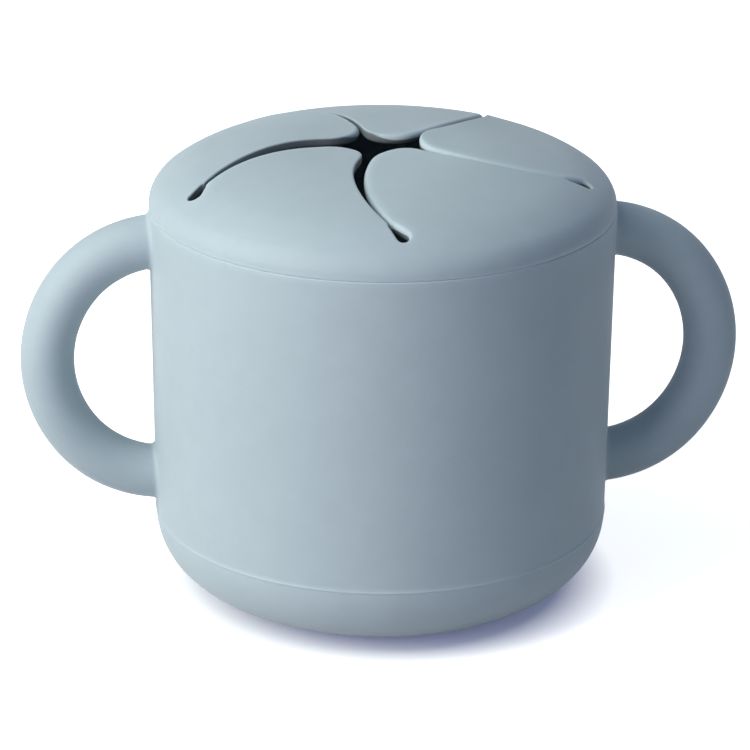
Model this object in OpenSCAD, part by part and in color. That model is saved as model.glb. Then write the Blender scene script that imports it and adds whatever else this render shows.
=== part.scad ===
// Toddler snack container: a round two-handled cup with a press-in lid whose domed top is cut
// into five swirling petals. A small hand pushes in between the petals, and they spring back.
// Origin: middle of the cup's base, on the surface it stands on. +Z up, handles along X.

/* [Cup] */
// Outer diameter at the rim
mouth_d = 80; // [74:0.5:90]
// How far the wall leans in on each side, from the rim to the rounded heel
wall_lean = 0.6; // [0:0.1:3]
// Height of the rim, where the lid sits
rim_z = 69.2; // [62:0.2:84]
// Radius of the heel beside the wall
heel_r = 11.9; // [9:0.1:13]
// Radius of the heel beside the foot
belly_r = 20.5; // [16:0.1:26]
// Thickness of the wall
wall = 2; // [1.6:0.1:2.4]
// Thickness of the floor
floor_t = 3; // [2.6:0.1:4]
// Diameter of the hollow under the foot
hollow_d = 35; // [24:0.5:38]
// Depth of the hollow under the foot
hollow_depth = 0.9; // [0.4:0.1:1.2]
// Radius of the fine mould line round the heel
mould_line_r = 0.3; // [0.2:0.05:0.5]
// How far the mould line stands out
mould_line_out = 0.12; // [0.05:0.01:0.2]
// Bevel along both sides of the seam between cup and lid
seam_bevel = 0.35; // [0.2:0.05:0.6]
// Bevel inside the rim that leads the lid in
lead_in = 0.6; // [0.3:0.1:0.8]

/* [Handles] */
// Width across both handles
span = 125; // [118:0.5:140]
// How far the top of a handle lies below the rim
handle_drop = 0.9; // [0.6:0.1:5]
// Radius of a handle's outer curve, at the middle of the grip
side_arc = 22.5; // [20:0.1:24]
// Radius of the curves above and below it
end_arc = 19.5; // [17:0.1:20]
// Thickness of the round grip
grip_d = 9.4; // [8:0.1:10.4]

/* [Lid] */
// Radius of the lid's lip, beside the seam
lip_r = 5.4; // [4.6:0.1:6.4]
// Radius of the dome's shoulder
shoulder_r = 21.5; // [18:0.1:26]
// Radius of the dome's crown
crown_r = 66; // [56:0.5:76]
// Thickness of the dome
skin_t = 1.8; // [1.4:0.1:2]
// How far the plug ring reaches down into the cup
plug_depth = 8; // [6:0.2:12]
// Thickness of the plug ring
plug_t = 1.3; // [1:0.1:1.4]
// Gap between the plug ring and the cup's wall
plug_gap = 0.5; // [0.45:0.05:0.6]
// How far the sealing beads stand out of the plug ring
bead_out = 0.3; // [0.2:0.05:0.35]
// Radius of a sealing bead
bead_r = 0.8; // [0.6:0.1:1]

/* [Petals] */
// Distance from the plug ring's inside to the middle of each slit's round end
slit_inset = 1.6; // [1.4:0.1:2.6]
// Radius of the curve that each slit follows
slit_r = 28.5; // [26:0.5:34]
// Direction of the first slit's round end
first_slit = -91.5; // [-110:0.5:-70]
// Width of a slit at its round end
slit_w = 0.8; // [0.7:0.05:1]
// Angle by which a slit widens towards the middle, on each side
slit_open = 1; // [0.6:0.1:1.6]
// Radius of the round end of a slit
slit_end_r = 1.1; // [0.8:0.1:1.2]
// Radius of a petal's tip
tip_r = 4.5; // [3.5:0.1:5.5]
// Radius of the round root that a petal turns on
root_r = 3; // [2.8:0.1:3.2]
// Running gap at the root
root_gap = 0.2; // [0.15:0.05:0.3]
// How far the hinge axis lies inside the line between two slit ends
hinge_in = 0.6; // [0.4:0.1:1.2]

/* [Hidden] */
$fn = 96;

silicone = [0.60, 0.67, 0.71];
petals = 5;
step = 360 / petals;
past = 1;

mouth_r = mouth_d / 2;
side_r = mouth_r - wall_lean;

// Directions in which one arc passes into the next, as sides of 3-4-5 and 7-24-25 triangles.
// The smaller arc of each pair carries on behind the larger one, so that no seam opens between them.
side = [1, 0];
steep = [0.6, 0.8];
shallow = [0.28, 0.96];
level = [0, 1];

// The heel is two arcs, tangent to the wall, to each other and to the flat foot.
heel_z = heel_r + (belly_r - heel_r) * (1 - steep.y);
heel_at = [side_r - heel_r, heel_z];
belly_at = heel_at + (belly_r - heel_r) * [-steep.x, steep.y];
foot_r = belly_at.x;

// A handle's centre line is an oval of tangent arcs: one at its side, two above and below.
grip_r = grip_d / 2;
grip_join = [steep.y, steep.x];
half_w = side_arc - (side_arc - end_arc) * grip_join.x;
half_h = end_arc + (side_arc - end_arc) * grip_join.y;
handle_x = span / 2 - grip_r - half_w;
handle_z = rim_z - handle_drop - grip_r - half_h;
join_turn = atan2(grip_join.y, grip_join.x);
// The straight ends of a handle run this far into its curves, so that the two are one piece.
lap = 0.0001;

// The dome is three tangent arcs from the seam to a small flat crown, drawn with the seam at 0.
lip_at = [mouth_r - lip_r, 0];
shoulder_at = lip_at - (shoulder_r - lip_r) * steep;
crown_at = shoulder_at - (crown_r - shoulder_r) * shallow;
flat_r = crown_at.x;
dome_h = crown_at.y + crown_r;
function crown_z(r) = crown_at.y + sqrt(crown_r * crown_r - pow(r - crown_at.x, 2));
function shoulder_z(r) = shoulder_at.y + sqrt(shoulder_r * shoulder_r - pow(r - shoulder_at.x, 2));
plug_r = mouth_r - wall - plug_gap;
plug_inner_r = plug_r - plug_t;

// Each slit is an arc from the lid's middle to its round end.
slit_reach = plug_inner_r - slit_inset;
slit_bow = asin(slit_reach / 2 / slit_r);
slit_at = slit_r * [cos(first_slit + 90 - slit_bow), sin(first_slit + 90 - slit_bow)];
slit_end = slit_reach * [cos(first_slit), sin(first_slit)];
function turned(p, a) = [p.x * cos(a) - p.y * sin(a), p.x * sin(a) + p.y * cos(a)];
// A slit's two sides swing apart about its round end. Each petal lies inside the first circle
// of its own slit and outside the second circle of the next one.
inner_at = slit_end + turned(slit_at - slit_end, -slit_open);
outer_at = turned(slit_end + turned(slit_at - slit_end, slit_open), step);
own_at = turned(outer_at, -step);
next_at = turned(slit_at, step);
inner_r = slit_r - slit_w / 2;
outer_r = slit_r + slit_w / 2;

// The petal's tip is an arc tangent to both of its sides.
apart = norm(outer_at - inner_at);
along = (outer_at - inner_at) / apart;
tip_in = (pow(inner_r - tip_r, 2) - pow(outer_r + tip_r, 2) + apart * apart) / (2 * apart);
tip_off = sqrt(pow(inner_r - tip_r, 2) - tip_in * tip_in);
tip_at = inner_at + tip_in * along + tip_off * [-along.y, along.x];
tip_inner = tip_at + (tip_at - inner_at) * tip_r / (inner_r - tip_r);
tip_outer = tip_at + (outer_at - tip_at) * tip_r / (outer_r + tip_r);

// The hinge axis runs across the petal, at the middle of the dome's thickness there.
petal_mid = first_slit + step / 2;
hinge_x = slit_reach * cos(step / 2) - hinge_in;
root_x = hinge_x - root_r;
root_end = norm([root_x, slit_reach * sin(step / 2)]);
hinge_z = rim_z + (crown_z(root_x) + shoulder_z(root_end) - skin_t) / 2;
// How far along its circle a slit is cut in the lid, from its round end to past the root.
tail_turn = 12;

// Slice of a disc at c, between two directions under 90 degrees apart.
module pie(c, r, from, to) {
    intersection() {
        translate(c) circle(r);
        polygon([c, c + 1.5 * r * from, c + 1.5 * r * to]);
    }
}

// Half section of the cup's outside, moved inwards by inset.
module cup_form(inset, bevel) {
    top_r = mouth_r - inset;
    pie(heel_at, heel_r - inset, [shallow.x, -shallow.y], [shallow.y, shallow.x]);
    pie(belly_at, belly_r - inset, -shallow, [steep.x, -steep.y]);
    translate([0, inset]) square([foot_r, belly_r - inset]);
    polygon([[0, heel_z], [side_r - inset, heel_z], [top_r, rim_z - abs(bevel)], [top_r - bevel, rim_z],
             [0, rim_z]]);
}

// Half section of the dome's outside above the seam, moved inwards by inset.
module dome_form(inset) {
    intersection() {
        square([mouth_r, dome_h]);
        union() {
            pie(lip_at, lip_r - inset, side, level);
            pie(shoulder_at, shoulder_r - inset, steep, level);
            pie(crown_at, crown_r - inset, shallow, [-shallow.x, shallow.y]);
            square([flat_r, dome_h - inset]);
        }
    }
}

module cup() {
    color(silicone) rotate_extrude() difference() {
        union() {
            cup_form(0, seam_bevel);
            translate([side_r - mould_line_r + mould_line_out, heel_z]) circle(mould_line_r);
        }
        intersection() {
            cup_form(wall, -lead_in);
            translate([0, floor_t]) square([mouth_r, rim_z]);
        }
        translate([0, -past]) square([hollow_d / 2, hollow_depth + past]);
    }
}

// One stretch of the round grip, bent about c in the handle's own plane.
module grip_arc(c, r, from, sweep) {
    translate(c) rotate(from) rotate_extrude(angle = sweep) translate([r, 0]) circle(grip_r);
}

module handle() {
    difference() {
        translate([0, 0, handle_z]) rotate([90, 0, 0]) {
            grip_arc([handle_x + half_w - side_arc, 0], side_arc, -join_turn, 2 * join_turn);
            for (up = [0, 1]) mirror([0, up, 0]) {
                grip_arc([handle_x, half_h - end_arc], end_arc, join_turn, 90 - join_turn);
                translate([0, half_h, 0]) rotate([0, 90, 0]) cylinder(r = grip_r, h = handle_x + lap);
            }
        }
        rotate_extrude() cup_form(0, seam_bevel);
    }
}

module right_handle() { color(silicone) handle(); }

module left_handle() { color(silicone) rotate(180) handle(); }

// Outline of the first petal inwards from a line across its root, seen from above: inside one
// circle along its own slit and outside another along the next slit.
module petal_outline(at, r, next_at, next_r, reach) {
    intersection() {
        difference() {
            translate(at) circle(r);
            translate(next_at) circle(next_r);
        }
        rotate(petal_mid) translate([-mouth_r, -mouth_r]) square([mouth_r + reach, mouth_d]);
    }
}

// Round root across the first petal, about its hinge axis.
module root(r) {
    rotate(petal_mid) translate([hinge_x, 0, hinge_z]) rotate([90, 0, 0])
        cylinder(r = r, h = mouth_d, center = true);
}

// What rounding takes off the first petal's tip.
module tip_waste() {
    difference() {
        polygon([tip_at, 2 * tip_inner - tip_at, -tip_at / 2, 2 * tip_outer - tip_at]);
        translate(tip_at) circle(tip_r);
    }
}

module petal(i) {
    color(silicone) rotate(i * step) difference() {
        intersection() {
            translate([0, 0, rim_z]) rotate_extrude() difference() {
                dome_form(0);
                dome_form(skin_t);
            }
            translate([0, 0, rim_z]) linear_extrude(dome_h + past) difference() {
                petal_outline(inner_at, inner_r, outer_at, outer_r, hinge_x - root_r / 3);
                tip_waste();
            }
        }
        root(root_r);
    }
}

module petal_1() { petal(0); }
module petal_2() { petal(1); }
module petal_3() { petal(2); }
module petal_4() { petal(3); }
module petal_5() { petal(4); }

// The first slit's stretch from its petal's root to its round end.
module slit_tail() {
    aim = atan2(slit_end.y - own_at.y, slit_end.x - own_at.x);
    translate(slit_end) circle(slit_end_r);
    difference() {
        pie(own_at, outer_r, [cos(aim - tail_turn), sin(aim - tail_turn)], [cos(aim), sin(aim)]);
        translate(inner_at) circle(inner_r);
    }
}

// Half section of the lid: dome, solid rim and plug ring with its sealing beads.
module lid_form() {
    difference() {
        dome_form(0);
        intersection() {
            dome_form(skin_t);
            square([plug_inner_r, dome_h]);
        }
        polygon([[mouth_r - seam_bevel, 0], [mouth_r + past, -past], [mouth_r + past, seam_bevel + past]]);
        square([flat_r, dome_h + past]);
    }
    polygon([[plug_inner_r, 0], [plug_inner_r, -plug_depth + lead_in], [plug_inner_r + lead_in / 2, -plug_depth],
             [plug_r - lead_in / 2, -plug_depth], [plug_r, -plug_depth + lead_in], [plug_r, 0]]);
    for (share = [0.35, 0.7]) translate([plug_r + bead_out - bead_r, -share * plug_depth]) circle(bead_r);
}

module lid() {
    color(silicone) difference() {
        difference() {
            translate([0, 0, rim_z]) rotate_extrude() lid_form();
            translate([0, 0, rim_z]) linear_extrude(dome_h + past)
                for (i = [0 : petals - 1]) rotate(i * step) slit_tail();
        }
        for (i = [0 : petals - 1]) rotate(i * step) difference() {
            translate([0, 0, rim_z]) linear_extrude(dome_h + past)
                petal_outline(own_at, outer_r, next_at, slit_r, hinge_x);
            root(root_r - root_gap);
        }
    }
}

cup();
left_handle();
right_handle();
lid();
petal_1();
petal_2();
petal_3();
petal_4();
petal_5();
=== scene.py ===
"""Looks of the toddler snack container: its round cup, two loop handles and swirl-slit lid,
all in matte dusty-blue silicone. Lengths are in millimetres until a mesh is made."""

import math

import bmesh
import bpy
import numpy as np
from mathutils import Matrix, Vector
from mathutils.geometry import delaunay_2d_cdt


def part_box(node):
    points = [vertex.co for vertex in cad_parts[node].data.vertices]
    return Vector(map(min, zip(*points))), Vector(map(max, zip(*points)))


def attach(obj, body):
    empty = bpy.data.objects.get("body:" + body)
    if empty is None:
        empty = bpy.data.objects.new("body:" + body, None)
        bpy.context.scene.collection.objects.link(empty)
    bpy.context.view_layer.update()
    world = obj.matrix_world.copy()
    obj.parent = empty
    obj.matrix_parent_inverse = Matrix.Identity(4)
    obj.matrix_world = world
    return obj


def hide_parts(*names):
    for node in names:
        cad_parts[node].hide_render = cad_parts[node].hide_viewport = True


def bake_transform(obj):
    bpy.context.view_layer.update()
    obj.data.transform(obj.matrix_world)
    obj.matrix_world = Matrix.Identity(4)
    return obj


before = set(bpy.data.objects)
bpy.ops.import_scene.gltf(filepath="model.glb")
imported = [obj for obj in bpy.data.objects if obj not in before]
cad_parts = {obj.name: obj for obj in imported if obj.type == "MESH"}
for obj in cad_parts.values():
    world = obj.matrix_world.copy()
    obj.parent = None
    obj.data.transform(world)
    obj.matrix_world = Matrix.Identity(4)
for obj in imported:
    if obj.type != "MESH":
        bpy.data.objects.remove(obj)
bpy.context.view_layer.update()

MM = 0.001
# Edges that turn by more than this stay sharp.
SMOOTH_ANGLE = math.radians(38)
# Points of one mesh closer than this are one, and so are points of neighbouring sectors of the lid's rim.
WELD = 2e-4
SECTOR_WELD = 1e-3

# -------- sizes from the frame
cup_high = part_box("cup")[1] / MM
grip_low, grip_high = (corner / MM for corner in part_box("right_handle"))

RIM_R = cup_high.x
RIM_Z = cup_high.z
SPAN_R = grip_high.x
GRIP_Z = (grip_low.z + grip_high.z) / 2

# -------- the cup's own sizes
WALL_LEAN = 0.6
HEEL_SIDE_R = RIM_R - WALL_LEAN
HEEL_R = 11.9
BELLY_R = 20.5
WALL = 2.0
FLOOR_T = 3.0
HOLLOW_R = 17.5
HOLLOW_DEPTH = 0.9
FOOT_ROUND = 0.3
RIM_ROUND = 0.3
# The inner edge of the rim is cut back by this much, and eased by this much at both ends of the cut.
LEAD_IN = 0.6
LEAD_EASE_TOP = 0.15
LEAD_EASE = 0.06
# The mould line is a low ridge, this high above the rounded heel.
MOULD_LINE_UP = 0.3
MOULD_LINE_OUT = 0.11
MOULD_LINE_HALF = 0.28
# The plain side runs between the mould line and the rim, and stays this far from both.
SIDE_CLEAR = 1.2
INNER_SIDE_TOP = 1.0
INNER_SIDE_LOW = 0.5
# Two points keep the shading of the cup's inner floor flat, this far inside its edge.
FLOOR_POINTS_IN = (3, 10)
# The bulge inside the cup stops this many degrees before it points straight down, and above the floor.
INNER_BELLY_STOP = 6
FLOOR_CLEAR = 0.02
# Heights over which the rim and the mould line are paler, partly as wear and partly as painted
# highlight, and how far in the rim's band reaches.
RIM_WEAR_HIGHLIGHT = 0.9
RIM_WEAR_HIGHLIGHT_IN = 1.5
MOULD_LINE_WEAR_HIGHLIGHT = 0.5
AROUND = 360

# -------- the handles' own sizes
# Half the grip's thickness in the plane of the loop, and across it.
GRIP_IN_PLANE = 4.61
GRIP_ACROSS = 4.84
SIDE_ARC = 22.5
END_ARC = 19.5
JOIN = (0.8, 0.6)
FILLET_R = 0.85
GRIP_SIDES = 72
GRIP_STEPS = 150
FILLET_STEPS = 7
# The skin carries on into the wall by this much, spread a little more than the fillet.
GRIP_SUNK = 1.2
SUNK_SPREAD = FILLET_R * 1.02
# Shares of the way along the handle between which the upper and the lower junction lie.
JUNCTIONS = ((-0.12, 0.3), (1.12, 0.7))
HALVINGS = 40

# -------- the lid's own sizes
LIP_R = 5.4
SHOULDER_R = 21.5
CROWN_R = 66.0
STEEP = (0.6, 0.8)
SHALLOW = (0.28, 0.96)
SKIN_T = 1.8
# The lip ends this many degrees above the seam, set back from the cup's side by a small step.
LIP_END = 1.5
SEAM_GAP = 0.02
SEAM_ROUND = 0.06
SEAM_STEP = 0.14
SEAM_STEP_HIGH = 1.5
# Height over which the lip is paler at the seam, partly as wear and partly as painted highlight, and how
# far in it reaches.
LIP_WEAR_HIGHLIGHT = 0.8
LIP_WEAR_HIGHLIGHT_IN = 1
RIM_STEPS = 72
ROOT_STEPS = 60
PLUG_GAP = 0.5
PLUG_R = RIM_R - WALL - PLUG_GAP
PLUG_T = 1.3
PLUG_DEPTH = 8.0
PLUG_ROUND = 0.4
PLUG_EASE = 0.15
PLUG_INNER_R = PLUG_R - PLUG_T
PLUG_INNER_HEIGHTS = (-5.5, -3.0, -0.5, 1.5)
BEAD_OUT = 0.3
BEAD_R = 0.8
BEAD_SHARES = (0.35, 0.7)

# -------- slits and petals
PETALS = 5
STEP = 360 / PETALS
FIRST_SLIT = -91.5
SLIT_INSET = 1.6
SLIT_REACH = PLUG_INNER_R - SLIT_INSET
SLIT_R = 28.5
SLIT_W = 0.2
# Each side of a slit is turned about the slit's hole by this many degrees.
SLIT_OPEN = 0.1
# A slit ends in a drop-shaped hole: its round end, how far that lies outwards, its length and its narrow end.
HOLE_R = 1.05
HOLE_OUT = 0.3
HOLE_LONG = 2.6
HOLE_END_R = 0.45
TIP_R = 5.5
# Rounding of the edges: along a petal's own slit, along the next slit, round the holes and underneath.
OWN_ROUND = 0.85
NEXT_ROUND = 0.35
HOLE_ROUND = 0.45
UNDER_ROUND = 0.75
# All edges are shaped by rows up to this far inside them.
EDGE_ROUND = OWN_ROUND
# Between these shares of the way round the tip, the rounding goes from its own side's to the next side's.
TIP_SHARES = (0.35, 0.7)
ROUND_STEPS = 7
OUTER_STEPS = 12
INNER_STEPS = 16
SIDE_STEPS = 56
TIP_STEPS = 18
# Distance between the points that fill a surface, and how near its edge they may lie, as a share of that.
POINT_GAP = 0.75
UNDER_POINT_GAP = 0.6
POINT_CLEAR = 0.62

# How each petal came to rest: slid outwards and sideways, lifted, and leaning across, all at its tip.
REST = {1: (-0.46, 1.90, 0.37, 0.095), 2: (2.4, 0.55, 1.38, 0.09), 3: (1.6, 2.2, 0.15, 0.0),
        4: (3.0, -2.0, -0.05, 0.0), 5: (-0.08, -0.97, -0.44, 0.018)}
# A petal eases into its rest place between these distances from the middle.
BEND_START = 30.0
BEND_END = 4.0
# The slit at the left has drifted round by some degrees, less and less up to a reach on both sides.
DRIFT = 2.4
DRIFT_AT = 196.5
DRIFT_REACH = 68.0
# Edges are made paler this far in, partly as wear and partly as painted highlight. Walls of tight edges
# get painted shade from this far in and this far down.
WEAR_HIGHLIGHT_REACH = 1.9
PAINTED_SHADE_REACH = 0.12
PAINTED_SHADE_DROP = 0.12

# -------- the silicone's own values
SILICONE_COLOUR = (0.42, 0.51, 0.55)
# How much paler marked edges are on the cup and on the lid, partly as wear and partly as painted highlight.
CUP_WEAR_HIGHLIGHT = 0.06
LID_WEAR_HIGHLIGHT = 0.20
# How much darker painted shade makes marked walls and undersides.
PAINTED_SHADE_FALL = 0.7
CLOUD = 0.02
MOTTLE = 0.02
WAVE = 0.5
GRAIN_DEEP = 0.006
ROUGHNESS = 0.62
ROUGHNESS_CHANGE = 0.05
SPECULAR = 0.4
SHEEN = 0.12
SHEEN_ROUGHNESS = 0.5
# Patterns are told by how many repeats there are in a metre.
CLOUD_SCALE = 25.0
MOTTLE_SCALE = 220.0
GRAIN_SCALE = 4000.0
WAVE_SCALE = 280.0
LINT_SCALE = 160.0
# A speck's size beside the distance between repeats, and the share of repeats that have one.
LINT_SIZE = 0.022
LINT_SHARE = 0.10
LINT_COLOUR = (0.55, 0.6, 0.62)


def polar(radius, degrees):
    """Point at that distance and direction from the middle."""
    turn = math.radians(degrees)
    return np.array([radius * math.cos(turn), radius * math.sin(turn)])


def turned(points, degrees):
    """Points turned about the middle, seen from above."""
    turn = math.radians(degrees)
    c, s = math.cos(turn), math.sin(turn)
    return np.asarray(points, float) @ np.array([[c, s], [-s, c]])


def direction(centre, point):
    """Direction from centre to point, in degrees."""
    return math.degrees(math.atan2(point[1] - centre[1], point[0] - centre[0]))


def arc(centre, radius, start, end, steps):
    """Points along an arc, both ends included, with directions in degrees."""
    turns = np.radians(np.linspace(start, end, steps + 1))
    return np.column_stack([centre[0] + radius * np.cos(turns), centre[1] + radius * np.sin(turns)])


def meet(c1, r1, c2, r2, near):
    """The crossing of two circles that lies nearer to a point."""
    c1, c2 = np.asarray(c1, float), np.asarray(c2, float)
    gap = np.linalg.norm(c2 - c1)
    along = (c2 - c1) / gap
    reach = (r1 * r1 - r2 * r2 + gap * gap) / (2 * gap)
    side = math.sqrt(max(r1 * r1 - reach * reach, 0))
    across = np.array([-along[1], along[0]])
    found = [c1 + reach * along + side * across, c1 + reach * along - side * across]
    return min(found, key=lambda p: np.linalg.norm(p - near))


# -------- meshes
class Shell:
    """Collects points and faces, then becomes one closed smooth mesh. Each point has a tone mark: 1 on paler
    edges, partly wear and partly painted highlight, 0 where the skin is as moulded, and -1 where walls and
    undersides are darkened by painted shade."""

    def __init__(self):
        self.points = []
        self.wear_and_painted_light = []
        self.faces = []

    def add(self, points, wear_and_painted_light=0.0):
        """Adds points with their tone mark of wear, painted highlight or painted shade, and returns their
        numbers.
        """
        first = len(self.points)
        self.points.extend(map(tuple, points))
        self.wear_and_painted_light.extend(np.broadcast_to(wear_and_painted_light, len(self.points) - first))
        return list(range(first, len(self.points)))

    def strip(self, a, b, closed=False):
        """Quads between two rows with as many points."""
        count = len(a)
        for i in range(count if closed else count - 1):
            j = (i + 1) % count
            self.faces.append((a[i], a[j], b[j], b[i]))

    def strips(self, rows, closed=False):
        """Quads between each row and the next."""
        for a, b in zip(rows, rows[1:]):
            self.strip(a, b, closed)

    def wall(self, top, bottom):
        """Quads from a row down to a lower one, through a row just under the first that is marked for painted
        shade, so the wall below is darkened but the edge itself is not.
        """
        # The row under the edge starts the painted shade that darkens the wall below it.
        under = self.add([(x, y, z - PAINTED_SHADE_DROP) for x, y, z in (self.points[i] for i in top)], -1.0)
        self.strip(top, under)
        self.strip(under, bottom)

    def fan(self, row, middle):
        """Triangles from a closed row to one point."""
        for i in range(len(row)):
            self.faces.append((row[i], row[(i + 1) % len(row)], middle))

    def mesh(self, name):
        """The mesh in metres, with the tone mark of wear, painted highlight and painted shade on its points.
        """
        mesh = bpy.data.meshes.new(name)
        mesh.from_pydata([tuple(c * MM for c in p) for p in self.points], [], self.faces)
        wear_and_painted_light = mesh.attributes.new("wear_and_painted_light", "FLOAT", "POINT")
        wear_and_painted_light.data.foreach_set("value", np.array(self.wear_and_painted_light, np.float32))
        return finished(mesh)


def finished(mesh):
    """Merges doubled points, turns the faces outwards and shades smooth, apart from true edges."""
    work = bmesh.new()
    work.from_mesh(mesh)
    bmesh.ops.remove_doubles(work, verts=work.verts, dist=WELD * MM)
    bmesh.ops.dissolve_degenerate(work, edges=work.edges, dist=WELD * MM / 4)
    bmesh.ops.recalc_face_normals(work, faces=work.faces)
    work.to_mesh(mesh)
    work.free()
    mesh.shade_smooth()
    mesh.set_sharp_from_angle(angle=SMOOTH_ANGLE)
    return mesh


def placed(name, mesh, material):
    """A piece in the scene, at the origin."""
    piece = bpy.data.objects.new(name, mesh)
    bpy.context.scene.collection.objects.link(piece)
    mesh.materials.clear()
    mesh.materials.append(material)
    return piece


# -------- node trees
def node(tree, kind, feeds=None, **settings):
    """Adds a node with its settings. Feeds link a socket to an input, or set the input's value."""
    made = tree.nodes.new(kind)
    for name, value in settings.items():
        setattr(made, name, value)
    for key, value in (feeds or {}).items():
        if isinstance(value, bpy.types.NodeSocket):
            tree.links.new(value, made.inputs[key])
        else:
            made.inputs[key].default_value = value
    return made


def calc(tree, operation, *values):
    """One sum on numbers."""
    return node(tree, "ShaderNodeMath", dict(enumerate(values)), operation=operation).outputs[0]


def vector_calc(tree, operation, *values):
    """One sum on vectors. A number as the last value is a scale."""
    keys = (0, "Scale") if operation == "SCALE" else (0, 1)
    made = node(tree, "ShaderNodeVectorMath", dict(zip(keys, values)), operation=operation)
    return made.outputs["Value" if operation in ("DOT_PRODUCT", "LENGTH") else "Vector"]


def group_tree(name, kind, inputs, outputs):
    """An empty node group with named sockets, and its input and output nodes."""
    tree = bpy.data.node_groups.new(name, kind)
    for way, sockets in (("INPUT", inputs), ("OUTPUT", outputs)):
        for label, socket in sockets:
            tree.interface.new_socket(label, in_out=way, socket_type="NodeSocket" + socket)
    return tree, tree.nodes.new("NodeGroupInput").outputs, tree.nodes.new("NodeGroupOutput").inputs


def floats(*labels):
    """Number sockets with those names."""
    return [(label, "Float") for label in labels]


DRIFT_INPUTS = floats("Drift", "Drift At", "Drift Reach")


def eased(tree, value, start, end):
    """0 up to start, 1 from end on, and smooth between."""
    return node(tree, "ShaderNodeMapRange", {"Value": value, "From Min": start, "From Max": end},
                interpolation_type="SMOOTHSTEP").outputs[0]


def turned_upright(tree, place, angle):
    """A place turned about the upright axis."""
    return node(tree, "ShaderNodeVectorRotate", {"Vector": place, "Angle": angle},
                rotation_type="Z_AXIS").outputs[0]


def drift_group():
    """Turns points a little about the upright axis, most in one direction and not at all far from it."""
    tree, given, out = group_tree("slit_drift", "GeometryNodeTree", [("Position", "Vector"), *DRIFT_INPUTS],
                                  [("Position", "Vector")])
    parts = node(tree, "ShaderNodeSeparateXYZ", {0: given["Position"]}).outputs
    way = calc(tree, "ARCTAN2", parts["Y"], parts["X"])
    off = calc(tree, "WRAP", calc(tree, "SUBTRACT", way, given["Drift At"]), math.pi, -math.pi)
    share = eased(tree, calc(tree, "ABSOLUTE", off), given["Drift Reach"], 0.0)
    moved = turned_upright(tree, given["Position"], calc(tree, "MULTIPLY", share, given["Drift"]))
    tree.links.new(moved, out["Position"])
    return tree


def drifted(tree, drift, position, given):
    """Position moved by the drift group, with the tree's own inputs."""
    feeds = {"Position": position, **{label: given[label] for label, _ in DRIFT_INPUTS}}
    return node(tree, "GeometryNodeGroup", feeds, node_tree=drift).outputs["Position"]


def end_tree(tree, geometry, given, out):
    """Ends a tree with real geometry and its material."""
    real = node(tree, "GeometryNodeRealizeInstances", {"Geometry": geometry})
    dressed = node(tree, "GeometryNodeSetMaterial", {
        "Geometry": real.outputs[0], "Material": given["Material"]})
    tree.links.new(dressed.outputs[0], out["Geometry"])


def petal_tree(drift):
    """Bends the first petal from its root inwards and turns it into its own place."""
    tree, given, out = group_tree("petal_at_rest", "GeometryNodeTree", [
        ("Geometry", "Geometry"), ("Mid Way", "Vector"), ("Across Way", "Vector"),
        *floats("Turn", "Bend Start", "Bend End", "Slide Out", "Slide Across", "Lift", "Lean"), *DRIFT_INPUTS,
        ("Material", "Material")], [("Geometry", "Geometry")])
    place = node(tree, "GeometryNodeInputPosition").outputs[0]
    inward = vector_calc(tree, "DOT_PRODUCT", place, given["Mid Way"])
    sideways = vector_calc(tree, "DOT_PRODUCT", place, given["Across Way"])
    share = eased(tree, inward, given["Bend Start"], given["Bend End"])
    rise = calc(tree, "ADD", given["Lift"], calc(tree, "MULTIPLY", sideways, given["Lean"]))
    upwards = node(tree, "ShaderNodeCombineXYZ", {"Z": rise}).outputs[0]
    out_move = vector_calc(tree, "SCALE", given["Mid Way"], given["Slide Out"])
    across_move = vector_calc(tree, "SCALE", given["Across Way"], given["Slide Across"])
    move = vector_calc(tree, "ADD", vector_calc(tree, "ADD", out_move, across_move), upwards)
    bent = vector_calc(tree, "ADD", place, vector_calc(tree, "SCALE", move, share))
    final = drifted(tree, drift, turned_upright(tree, bent, given["Turn"]), given)
    moved = node(tree, "GeometryNodeSetPosition", {"Geometry": given["Geometry"], "Position": final})
    end_tree(tree, moved.outputs[0], given, out)
    return tree


def ring_tree(drift):
    """Sets copies of one sector round the upright axis and joins them."""
    tree, given, out = group_tree("ring_of_sectors", "GeometryNodeTree", [
        ("Geometry", "Geometry"), ("Copies", "Int"), *floats("Weld"), *DRIFT_INPUTS,
        ("Material", "Material")], [("Geometry", "Geometry")])
    line = node(tree, "GeometryNodeMeshLine", {"Count": given["Copies"], "Offset": (0, 0, 0)})
    share = calc(tree, "DIVIDE", node(tree, "GeometryNodeInputIndex").outputs[0], given["Copies"])
    turn = node(tree, "ShaderNodeCombineXYZ", {"Z": calc(tree, "MULTIPLY", share, 2 * math.pi)}).outputs[0]
    copies = node(tree, "GeometryNodeInstanceOnPoints", {
        "Points": line.outputs[0], "Instance": given["Geometry"], "Rotation": turn})
    real = node(tree, "GeometryNodeRealizeInstances", {"Geometry": copies.outputs[0]})
    welded = node(tree, "GeometryNodeMergeByDistance", {
        "Geometry": real.outputs[0], "Distance": given["Weld"]})
    final = drifted(tree, drift, node(tree, "GeometryNodeInputPosition").outputs[0], given)
    moved = node(tree, "GeometryNodeSetPosition", {"Geometry": welded.outputs[0], "Position": final})
    end_tree(tree, moved.outputs[0], given, out)
    return tree


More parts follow.
